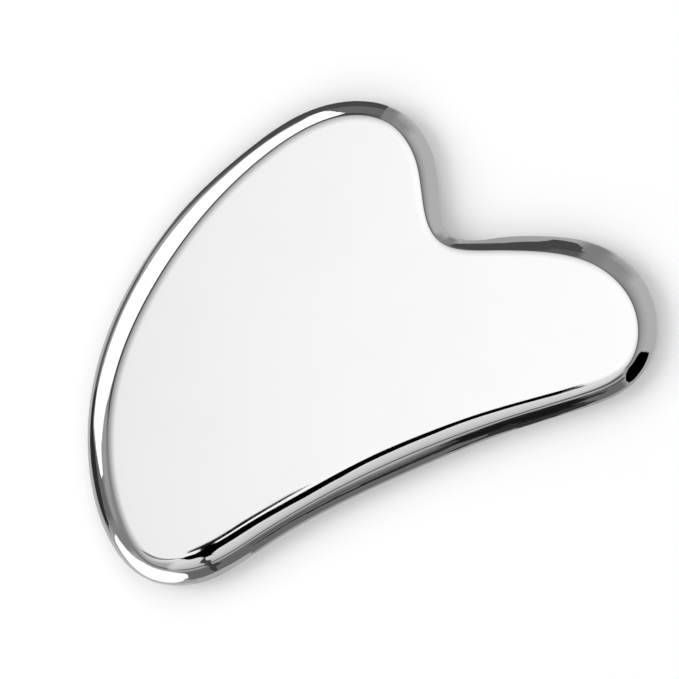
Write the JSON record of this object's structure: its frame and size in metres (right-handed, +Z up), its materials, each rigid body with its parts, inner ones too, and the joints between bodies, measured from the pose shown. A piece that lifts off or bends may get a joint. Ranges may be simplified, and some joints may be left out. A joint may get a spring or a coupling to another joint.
{
  "type": "gua sha scraper",
  "caption": "Flat heart-shaped facial scraper of polished steel with a bevelled rim, a notch between unequal lobes and a long hollow working edge.",
  "frame": {"origin": "centre of the plate's outline box, on the flat face it rests on", "axes": "+X along the plate's length from the tail to the right lobe, +Y across it towards the upper lobe, +Z up from the face it rests on, through the thickness"},
  "size_m": [0.082, 0.0534, 0.004],
  "materials": {
    "polished_steel": "polished"
  },
  "bodies": {
    "root": {"scraper_plate": "polished_steel"}
  },
  "joints": []
}
